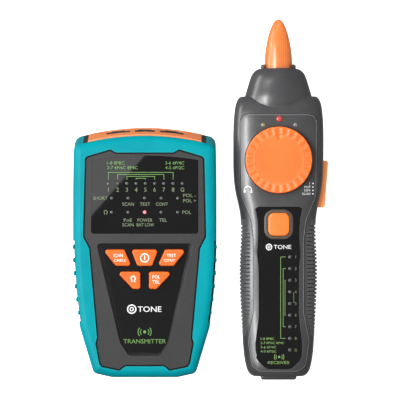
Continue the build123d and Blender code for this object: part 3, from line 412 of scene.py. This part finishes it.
INKS = {
    "white": ink("ink_white", (0.82, 0.83, 0.83)),
    "key_white": ink("ink_key_white", (0.95, 0.92, 0.88)),
    "green": ink("ink_green", (0.115, 0.26, 0.055)),
    "lime": ink("ink_lime", (0.17, 0.31, 0.08)),
    "pale": ink("ink_pale", (0.15, 0.20, 0.11)),
    "grey": ink("ink_grey", (0.72, 0.73, 0.74)),
    # A painted highlight and painted shade for the probe's parting line.
    "painted_highlight": ink("seam_painted_highlight", (0.21, 0.21, 0.215)),
    "painted_gap_shade": ink("seam_painted_gap_shade", (0.012, 0.012, 0.012)),
}


class Print:
    """Flat artwork that is laid on one CAD node and rides with it."""

    def __init__(self, name, node, origin, colour):
        self.name = name
        self.node = node
        self.origin = origin
        self.colour = colour
        self.mesh = bmesh.new()

    def text(self, words, x, y, height, width=None):
        """Words centred at (x, y); height is the capitals' height and width the whole line's."""
        curve = bpy.data.curves.new("words", "FONT")
        curve.body = words
        curve.align_x = "CENTER"
        curve.align_y = "CENTER"
        curve.resolution_u = 3
        holder = bpy.data.objects.new("words", curve)
        bpy.context.scene.collection.objects.link(holder)
        bpy.context.view_layer.update()
        flat = bpy.data.meshes.new_from_object(holder.evaluated_get(bpy.context.evaluated_depsgraph_get()))
        low = Vector((min(v.co.x for v in flat.vertices), min(v.co.y for v in flat.vertices)))
        high = Vector((max(v.co.x for v in flat.vertices), max(v.co.y for v in flat.vertices)))
        tall = height / (high.y - low.y)
        wide = width / (high.x - low.x) if width else tall
        for vertex in flat.vertices:
            vertex.co.x = x + (vertex.co.x - (low.x + high.x) / 2) * wide
            vertex.co.y = y + (vertex.co.y - (low.y + high.y) / 2) * tall
        self.mesh.from_mesh(flat)
        bpy.data.objects.remove(holder)
        bpy.data.curves.remove(curve)
        bpy.data.meshes.remove(flat)
        return self

    def stroke(self, points, width, loop=False):
        """A line of constant width with mitred corners."""
        points = [Vector(p) for p in points]
        count = len(points)
        rims = []
        for k, here in enumerate(points):
            before = points[k - 1] if k or loop else None
            after = points[(k + 1) % count] if k < count - 1 or loop else None
            legs = (here - before if before else None, after - here if after else None)
            ways = [leg.normalized() for leg in legs if leg]
            along = sum(ways, Vector((0, 0))).normalized()
            side = Vector((-along.y, along.x))
            reach = width / 2 / max(0.4, abs(side.dot(Vector((-ways[0].y, ways[0].x)))))
            rims.append([self.mesh.verts.new((*(here + side * s * reach), 0)) for s in (-1, 1)])
        pairs = list(zip(rims, rims[1:] + rims[:1])) if loop else list(zip(rims, rims[1:]))
        for (a, b), (c, d) in pairs:
            self.mesh.faces.new((a, c, d, b))
        return self

    def long_stroke(self, points, width, step=2.0):
        """As stroke, with points added so that it can follow a crowned surface."""
        fine = [Vector(points[0])]
        for start, end in zip(points, points[1:]):
            start, end = Vector(start), Vector(end)
            parts = max(1, round((end - start).length / step))
            fine += [start.lerp(end, (k + 1) / parts) for k in range(parts)]
        return self.stroke(fine, width)

    def arc(self, x, y, radius, start, end, width, parts):
        """An arc between two angles in degrees, or a ring when they are 360 apart."""
        ring = abs(end - start) >= 360
        steps = parts if ring else parts + 1
        angles = [math.radians(start + (end - start) * k / parts) for k in range(steps)]
        points = [(x + radius * math.cos(a), y + radius * math.sin(a)) for a in angles]
        return self.stroke(points, width, ring)

    def disc(self, x, y, radius, parts=16):
        """A filled round dot."""
        angles = [2 * math.pi * k / parts for k in range(parts)]
        self.mesh.faces.new(
            [self.mesh.verts.new((x + radius * math.cos(a), y + radius * math.sin(a), 0)) for a in angles])
        return self

    def waves(self, x, y, size):
        """A dot with two arcs on each side: a tone going out."""
        self.disc(x, y, 0.11 * size)
        for radius in (0.30, 0.46):
            for middle in (0, 180):
                self.arc(x, y, radius * size, middle - 38, middle + 38, 0.055 * size, 8)
        return self

    def ohm(self, x, y, size, width):
        """The resistance sign: an open ring on two feet."""
        radius = 0.36 * size
        up = y + 0.10 * size
        foot = [math.radians(a) for a in (-58, -122)]
        ends = [(x + radius * math.cos(a), up + radius * math.sin(a)) for a in foot]
        self.arc(x, up, radius, -58, 238, width, 20)
        base = y - 0.42 * size
        for (ex, ey), way in zip(ends, (1, -1)):
            self.stroke([(ex - way * width * 0.4, base), (ex + way * 0.2 * size, base)], width)
            self.stroke([(ex, ey + width * 0.3), (ex, base)], width)
        return self

    def lay(self):
        """Drops the artwork on its node, points past the edge at its height, and gives it a body of ink."""
        solid = NODES[self.node].data
        tree = BVHTree.FromPolygons([v.co for v in solid.vertices], [p.vertices for p in solid.polygons])
        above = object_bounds()[1].z + DROP_FROM
        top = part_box(self.node)[1].z
        for vertex in self.mesh.verts:
            x = self.origin[0] + vertex.co.x * MM
            y = self.origin[1] + vertex.co.y * MM
            hit = tree.ray_cast(Vector((x, y, above)), Vector((0, 0, -1)))[0]
            vertex.co = (x, y, (hit or tree.find_nearest(Vector((x, y, top)))[0]).z + PRINT_LIFT)
        bmesh.ops.recalc_face_normals(self.mesh, faces=self.mesh.faces)
        for face in self.mesh.faces:
            if face.normal.z < 0:
                face.normal_flip()
        data = bpy.data.meshes.new(self.name)
        self.mesh.to_mesh(data)
        self.mesh.free()
        data.materials.append(INKS[self.colour])
        piece = bpy.data.objects.new(self.name, data)
        bpy.context.scene.collection.objects.link(piece)
        body = piece.modifiers.new("ink", "SOLIDIFY")
        body.thickness = PRINT_THICK
        body.offset = 1.0
        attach(piece, BODY_OF[self.node])


# The lamps behind the window: the first row's pitch and first x, and the y of the rows below it.
LAMP_PITCH = 4.92
LAMP_FIRST_X = -19.3
SECOND_ROW = 95.4
THIRD_ROW = 87.9


def print_display():
    """Numbers, words and wire-pair brackets on the transmitter's window."""
    numbers = Print("tx_lamp_numbers", "tx_display_window", TX, "pale")
    for k, mark in enumerate("12345678G"):
        numbers.text(mark, LAMP_FIRST_X + LAMP_PITCH * k, 99.9, 2.2)
    numbers.lay()
    words = Print("tx_display_words", "tx_display_window", TX, "pale")
    for word, x, y, width in (
        ("SHORT", -23.6, SECOND_ROW, 7.6), ("POL -", 23.9, SECOND_ROW + 1.4, 6.8),
        ("POL +", 23.9, SECOND_ROW - 1.4, 6.8), ("SCAN", -8.8, SECOND_ROW - 3.2, 6.2),
        ("TEST", 0.2, SECOND_ROW - 3.2, 5.6), ("CONT", 9.2, SECOND_ROW - 3.2, 6.4),
        ("POL", 22.4, THIRD_ROW, 4.6), ("PoE", -8.9, THIRD_ROW - 4.2, 4.4),
        ("POWER", 0.2, THIRD_ROW - 4.2, 8.0), ("TEL", 9.8, THIRD_ROW - 4.2, 4.2),
        ("SCAN", -8.9, THIRD_ROW - 6.7, 6.0), ("BAT LOW", 0.4, THIRD_ROW - 6.7, 9.2),
    ):
        words.text(word, x, y, 1.75, width)
    words.ohm(-20.7, THIRD_ROW - 0.1, 2.3, 0.32)
    words.lay()
    pairs = Print("tx_pair_notes", "tx_display_window", TX, "green")
    for word, x, y, width in (
        ("1-8 8P8C", -15.4, 114.1, 9.4), ("2-7 6P/6C 8P4C", -11.9, 111.6, 16.2),
        ("3-6 6P/4C", 16.0, 114.1, 10.0), ("4-5 6P/2C", 16.0, 111.6, 10.0),
    ):
        pairs.text(word, x, y, 1.7, width)
    brackets = ((109.1, 105.2), (108.0, 105.2), (106.95, 105.2), (105.9, 105.3))
    for k, (top, foot) in enumerate(brackets):
        left = LAMP_FIRST_X + LAMP_PITCH * k
        right = LAMP_FIRST_X + LAMP_PITCH * (7 - k)
        pairs.stroke([(left, foot), (left, top), (right, top), (right, foot)], 0.3)
    pairs.lay()


def print_keypad():
    """The plain word and the tone mark below the keys."""
    mark = Print("tx_face_mark", "tx_keypad_sheet", TX, "white")
    line = 36.3
    mark.arc(-6.9, line, 2.2, 0, 360, 0.6, 28)
    mark.arc(-6.9, line, 0.9, 0, 360, 0.5, 16)
    mark.text("TONE", 2.6, line, 2.9, 12.6)
    mark.lay()
    label = Print("tx_face_label", "tx_keypad_sheet", TX, "green")
    label.waves(0, 24.2, 7.6)
    label.text("TRANSMITTER", 0, 19.2, 2.3, 22.6)
    label.lay()


def print_keys():
    """A symbol or two short words on each key."""
    power = Print("tx_power_symbol", "tx_key_power", TX, "key_white")
    power.arc(0, 63.6, 2.2, 0, 360, 0.5, 32)
    power.stroke([(0, 62.5), (0, 64.9)], 0.5)
    power.lay()
    for key, lines in (
        ("scan", (("SCAN", -14.2, 64.9, 1.7, 5.2), ("CABLE", -13.2, 62.3, 1.3, 6.2))),
        ("test", (("TEST", 14.2, 64.9, 1.7, 5.0), ("CONT", 13.2, 62.3, 1.3, 6.0))),
        ("line", (("POL", 6.2, 53.5, 1.8, 4.0), ("TEL", 6.0, 50.9, 1.8, 3.9))),
    ):
        legend = Print(f"tx_{key}_legend", f"tx_key_{key}", TX, "key_white")
        for word, x, y, height, width in lines:
            legend.text(word, x, y, height, width)
        legend.lay()
    Print("tx_ohm_symbol", "tx_key_ohm", TX, "key_white").ohm(-6.1, 52.4, 3.2, 0.5).lay()


# The map lamps on the probe: the lowest one's y, their pitch, and how many stand above it.
MAP_FIRST_Y = 16.1
MAP_PITCH = 6.2
MAP_TOP_K = 8
# The notes' left edge.
NOTES_LEFT = -9.6


def print_probe_panel():
    """Wire-map numbers and brackets, notes, tone mark and names on the probe's label panel."""
    numbers = Print("rx_map_numbers", "rx_label_panel", RX, "pale")
    for k, mark in enumerate("G87654321"):
        numbers.text(mark, 9.0, MAP_FIRST_Y + MAP_PITCH * k, 1.5)
    numbers.lay()
    lines = Print("rx_map_brackets", "rx_label_panel", RX, "lime")
    for k, x in enumerate((1.0, 2.35, 3.3)):
        top = MAP_FIRST_Y + MAP_PITCH * (MAP_TOP_K - k)
        foot = MAP_FIRST_Y + MAP_PITCH * (1 + k)
        lines.long_stroke([(3.7, top), (x, top), (x, foot), (3.7, foot)], 0.26)
    middle = MAP_FIRST_Y + MAP_PITCH * 4.5
    low, high = middle - 2.6, middle + 2.6
    lines.long_stroke([(8.3, low), (7.95, low), (7.95, high), (8.3, high)], 0.2)
    for word, width, y in (
        ("1-8 8P8C", 7.2, 22.1), ("2-7 6P/6C 8P4C", 12.4, 19.9),
        ("3-6 6P/4C", 8.2, 17.6), ("4-5 6P/2C", 8.2, 15.4),
    ):
        lines.text(word, NOTES_LEFT + width / 2, y, 1.25, width)
    lines.waves(0.2, 12.4, 5.6)
    lines.text("RECEIVER", 0, 9.4, 1.6, 11.6)
    lines.lay()
    mark = Print("rx_face_mark", "rx_label_panel", RX, "white")
    line = 71.0
    mark.arc(-5.2, line, 1.5, 0, 360, 0.45, 24)
    mark.arc(-5.2, line, 0.6, 0, 360, 0.35, 14)
    mark.text("TONE", 1.9, line, 2.1, 9.2)
    mark.lay()


# The headphone mark's place; the y of the switch's top mark, the step to the next, and the x of the dots.
PHONES_AT = (-16.4, 101.3)
SWITCH_TOP_Y = 104.8
SWITCH_STEP = 1.84
SWITCH_DOT_X = 18.2


def print_probe_housing():
    """Headphone mark by the earphone socket, and the side switch's positions."""
    phones = Print("rx_headphone_mark", "rx_front_cover", RX, "white")
    x, y = PHONES_AT
    phones.arc(x, y, 1.95, -10, 190, 0.34, 20)
    for side in (-1, 1):
        phones.stroke([(x + side * 1.78, y), (x + side * 1.78, y - 1.4)], 0.8)
    phones.lay()
    marks = Print("rx_switch_marks", "rx_front_cover", RX, "grey")
    for k, word in enumerate(("I", "MAP", "OFF", "SCAN")):
        y = SWITCH_TOP_Y - SWITCH_STEP * k
        marks.disc(SWITCH_DOT_X, y, 0.4)
        marks.text(word, SWITCH_DOT_X - 1.2 - 0.6 * len(word), y, 1.2, 1.08 * len(word) if k else None)
    marks.lay()


# The probe's parting line, from the lower end up one side, as (x, y, corner radius).
PARTING = (
    (11.0, 4.2, 2), (14.8, 6.8, 4), (16.9, 20.5, 8), (13.7, 36.0, 20), (13.7, 74.0, 30), (14.9, 85.0, 8),
    (20.3, 98.0, 14), (20.9, 142.0, 5),
)
# Corners below this y are moved up by a line's inset, because they belong to the lower end.
LOWER_END = 10.0
# The lines' width, and how far the painted gap shade and the painted highlight sit inside the parting line.
LINE_WIDTH = 0.24
GAP_SHADE_INSET = 0.32
HIGHLIGHT_INSET = 0.58


def rounded(corners, steps=6):
    """The points of a line through corners given as (x, y, radius); its two ends stay sharp."""
    outline = [Vector(corners[0][:2])]
    for before, (x, y, radius), after in zip(corners, corners[1:], corners[2:]):
        here = Vector((x, y))
        back = Vector(before[:2]) - here
        ahead = Vector(after[:2]) - here
        reach = radius * math.tan((math.pi - back.angle(ahead)) / 2)
        reach = min(reach, back.length * 0.45, ahead.length * 0.45)
        start = here + back.normalized() * reach
        end = here + ahead.normalized() * reach
        for step in range(steps + 1):
            t = step / steps
            outline.append(start.lerp(here, t).lerp(here.lerp(end, t), t))
    return outline + [Vector(corners[-1][:2])]


def print_parting_line():
    """The front cover's edge along the parting line: a dark line of painted shade in the gap and a paler
    line of painted highlight inside it.
    """
    for colour, inset in (("painted_gap_shade", GAP_SHADE_INSET), ("painted_highlight", HIGHLIGHT_INSET)):
        line = Print(f"rx_seam_{colour}", "rx_front_cover", RX, colour)
        low, high = PARTING[0][1] + inset, PARTING[-1][1] - inset
        side = [
            (x - inset, min(high, y + inset if y < LOWER_END else y), radius) for x, y, radius in PARTING
        ]
        corners = [(0, low, 0), *side, (0, high, 0)]
        for way in (-1, 1):
            line.long_stroke(rounded([(way * x, y, radius) for x, y, radius in corners]), LINE_WIDTH)
        line.lay()


# ---------------------------------------------------------------- stage
CAMERA_LENS = 400.0
SENSOR = 36.0
FRAME_WIDTH = 0.21333
FOCUS_Z = 0.026
VIEW_X = -0.00045
VIEW_Y = -0.0003
CLIP_END = 20.0
FLOOR_HALF = 4.0
FLOOR_GAP = 0.0002
WORLD_LIGHT = 0.22
KIT = (0, 0, 0.02)
# Each lamp's name, place, target, size, power, and the kinds of ray it is left out of.
LAMPS = (
    ("key", (-0.50, -0.05, 0.95), KIT, (0.9, 0.12), 11, ()),
    ("side", (-0.95, 0.25, 0.16), (0.05, 0.08, 0.02), (0.9, 0.25), 6, ()),
    ("head", (0.0, 0.85, 0.60), (0, 0.05, 0.02), (0.7, 0.3), 5, ("glossy",)),
    ("fill", (0.9, 0.0, 0.40), KIT, (0.6, 0.9), 2.2, ("glossy",)),
    ("sheen", (-0.70, 0.0, 0.70), (0.04, 0, 0.02), (0.9, 0.5), 7, ("diffuse",)),
    ("near", (0.0, 0.0, 0.17), (0.06, 0.0, 0.03), (0.24, 0.03), 0.08, ("glossy",)),
)
# The card over the display window: half its width, its height and power, and the edge of its reflection,
# in the transmitter's millimetres.
CARD_HALF = 0.04
CARD_Z = 0.16
CARD_POWER = 0.06
GLINT_EDGE = ((-28.6, 88.9), (-2.9, 118.0))


def aim(thing, target):
    """Turns a lamp to face the target."""
    thing.rotation_euler = (Vector(target) - thing.location).to_track_quat("-Z", "Y").to_euler()


def add_camera():
    data = bpy.data.cameras.new("camera")
    data.lens = CAMERA_LENS
    data.sensor_width = SENSOR
    camera = bpy.data.objects.new("camera", data)
    bpy.context.scene.collection.objects.link(camera)
    distance = FRAME_WIDTH * CAMERA_LENS / SENSOR
    camera.location = (VIEW_X, VIEW_Y, FOCUS_Z + distance)
    data.clip_end = CLIP_END
    bpy.context.scene.camera = camera


def add_area(name, place, target, size, power, hidden=()):
    """A soft rectangular lamp that is left out of the hidden kinds of ray."""
    data = bpy.data.lights.new(name, "AREA")
    data.shape = "RECTANGLE"
    data.size, data.size_y = size
    data.energy = power
    light = bpy.data.objects.new(name, data)
    bpy.context.scene.collection.objects.link(light)
    light.location = place
    aim(light, target)
    for ray in hidden:
        setattr(light, f"visible_{ray}", False)
    return light


def add_floor():
    mesh = bmesh.new()
    bmesh.ops.create_grid(mesh, x_segments=8, y_segments=8, size=FLOOR_HALF)
    data = bpy.data.meshes.new("floor")
    mesh.to_mesh(data)
    mesh.free()
    floor = bpy.data.objects.new("floor", data)
    floor.location.z = cad_box[0].z - FLOOR_GAP
    bpy.context.scene.collection.objects.link(floor)
    look = Look("floor_paper", Roughness=0.9, Specular_IOR_Level=0.1, Emission_Strength=1.0)
    look.shader.inputs["Emission Color"].default_value = (1, 1, 1, 1)
    look.colour(look.noise(0.4, 2.0), [(0.3, (0.80, 0.80, 0.80)), (0.7, (0.84, 0.84, 0.84))])
    data.materials.append(look.material)
    floor.visible_diffuse = False
    floor.visible_glossy = False


def add_light():
    """An even white surround, the lamps and the window's card."""
    world = bpy.data.worlds.new("studio")
    world.use_nodes = True
    background = world.node_tree.nodes["Background"]
    background.inputs["Color"].default_value = (1, 1, 1, 1)
    background.inputs["Strength"].default_value = WORLD_LIGHT
    bpy.context.scene.world = world
    for lamp_settings in LAMPS:
        add_area(*lamp_settings)
    window_card()


def window_card():
    """A card above the display window, seen only as the slanting reflection in its upper left."""
    low, high = (Vector(end) for end in GLINT_EDGE)
    along = (high - low).normalized()
    away = Vector((-along.y, along.x))
    middle = (low + high) / 2 * MM + away * CARD_HALF + Vector(TX)
    size = (2 * CARD_HALF, 4 * CARD_HALF)
    card = add_area("window_card", (*middle, CARD_Z), (*middle, 0), size, CARD_POWER, ("diffuse",))
    card.rotation_euler = (0, 0, math.atan2(along.y, along.x) - math.pi / 2)


dress_nodes()
print_display()
print_keypad()
print_keys()
print_probe_panel()
print_probe_housing()
print_parting_line()
add_floor()
add_light()
add_camera()
bpy.context.scene.view_settings.view_transform = "Standard"
